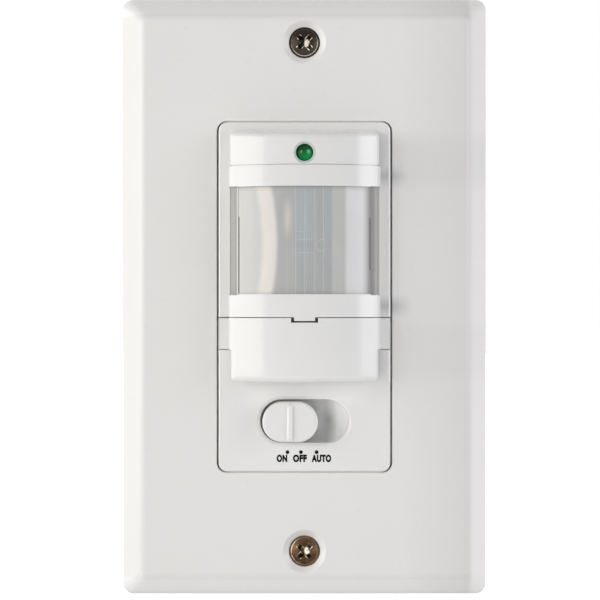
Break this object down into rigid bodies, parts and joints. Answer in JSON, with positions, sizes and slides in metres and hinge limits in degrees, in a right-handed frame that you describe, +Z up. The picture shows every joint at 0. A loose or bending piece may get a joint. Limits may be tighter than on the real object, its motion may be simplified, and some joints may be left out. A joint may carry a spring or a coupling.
{
  "type": "motion sensor light switch",
  "caption": "Wall switch with a bevelled cover plate, curved sensor lens, status lamp, drop-down adjustment cover and a slide knob marked ON, OFF and AUTO.",
  "frame": {"origin": "centre of the two box screws, on the wall's surface", "axes": "+X to the viewer's right, +Y into the wall, +Z up"},
  "size_m": [0.0698, 0.0442, 0.1142],
  "materials": {
    "plate_plastic": "satin moulded thermoplastic",
    "housing_plastic": "smooth moulded thermoplastic",
    "lens_plastic": "milky moulded polyethylene",
    "lamp_green": "clear green epoxy",
    "plate_screw_metal": "dark nickel plate",
    "screw_steel": "zinc plate",
    "strap_steel": "zinc plated sheet",
    "earth_green": "green finish",
    "fibre": "vulcanised fibre",
    "rear_plastic": "fine texture",
    "brass": "rolled sheet",
    "inner_black": "moulded",
    "inner_white": "moulded",
    "board_green": "solder resist",
    "can_metal": "nickel plate",
    "filter_dark": "polished filter",
    "tinned_wire": "tinned",
    "relay_case": "moulded",
    "film_yellow": "epoxy",
    "sleeve_black": "shrink sleeve",
    "disc_blue": "epoxy dip",
    "cell_face": "coated ceramic"
  },
  "bodies": {
    "device": {"wall_plate": "plate_plastic", "plate_screws": "plate_screw_metal", "mounting_strap": "strap_steel", "box_screws": "screw_steel", "screw_retainers": "fibre", "ground_screw": "earth_green", "front_housing": "housing_plastic", "sensor_lens": "lens_plastic", "lens_retainer": "inner_white", "sensor_spacer": "inner_black", "pyro_sensor": "can_metal", "pyro_window": "filter_dark", "light_sensor": "cell_face", "status_led": "lamp_green", "led_leads": "tinned_wire", "led_spacer": "inner_white", "trimmer_bodies": "inner_black", "slide_switch_case": "can_metal", "sensor_board": "board_green", "board_screws": "screw_steel", "board_connector": "inner_black", "controller_chip": "inner_black", "power_board": "board_green", "relay": "relay_case", "film_capacitor": "film_yellow", "smoothing_capacitor": "sleeve_black", "surge_disc": "disc_blue", "choke": "inner_black", "fuse": "inner_black", "rear_housing": "rear_plastic", "housing_screws": "screw_steel", "terminal_plates": "brass", "terminal_screws": "brass"},
    "slide": {"slide_knob": "housing_plastic", "knob_carriage": "inner_white", "switch_slider": "inner_black"},
    "cover": {"adjustment_cover": "housing_plastic"},
    "light_adjuster": {"light_knob": "inner_white"},
    "time_adjuster": {"time_knob": "inner_white"},
    "range_adjuster": {"range_knob": "inner_white"}
  },
  "joints": [
    {"name": "switch_slide", "type": "slide", "parent": "device", "child": "slide", "axis": [1, 0, 0], "range_m": [0, 0.0054]},
    {"name": "cover_hinge", "type": "hinge", "parent": "device", "child": "cover", "pos_m": [0, -0.0073, -0.0149], "axis": [1, 0, 0], "range_deg": [0, 55]},
    {"name": "light_turn", "type": "hinge", "parent": "device", "child": "light_adjuster", "pos_m": [-0.008, 0, -0.0089], "axis": [0, 1, 0], "range_deg": [-135, 135]},
    {"name": "time_turn", "type": "hinge", "parent": "device", "child": "time_adjuster", "pos_m": [0, 0, -0.0089], "axis": [0, 1, 0], "range_deg": [-135, 135]},
    {"name": "range_turn", "type": "hinge", "parent": "device", "child": "range_adjuster", "pos_m": [0.008, 0, -0.0089], "axis": [0, 1, 0], "range_deg": [-135, 135]}
  ]
}
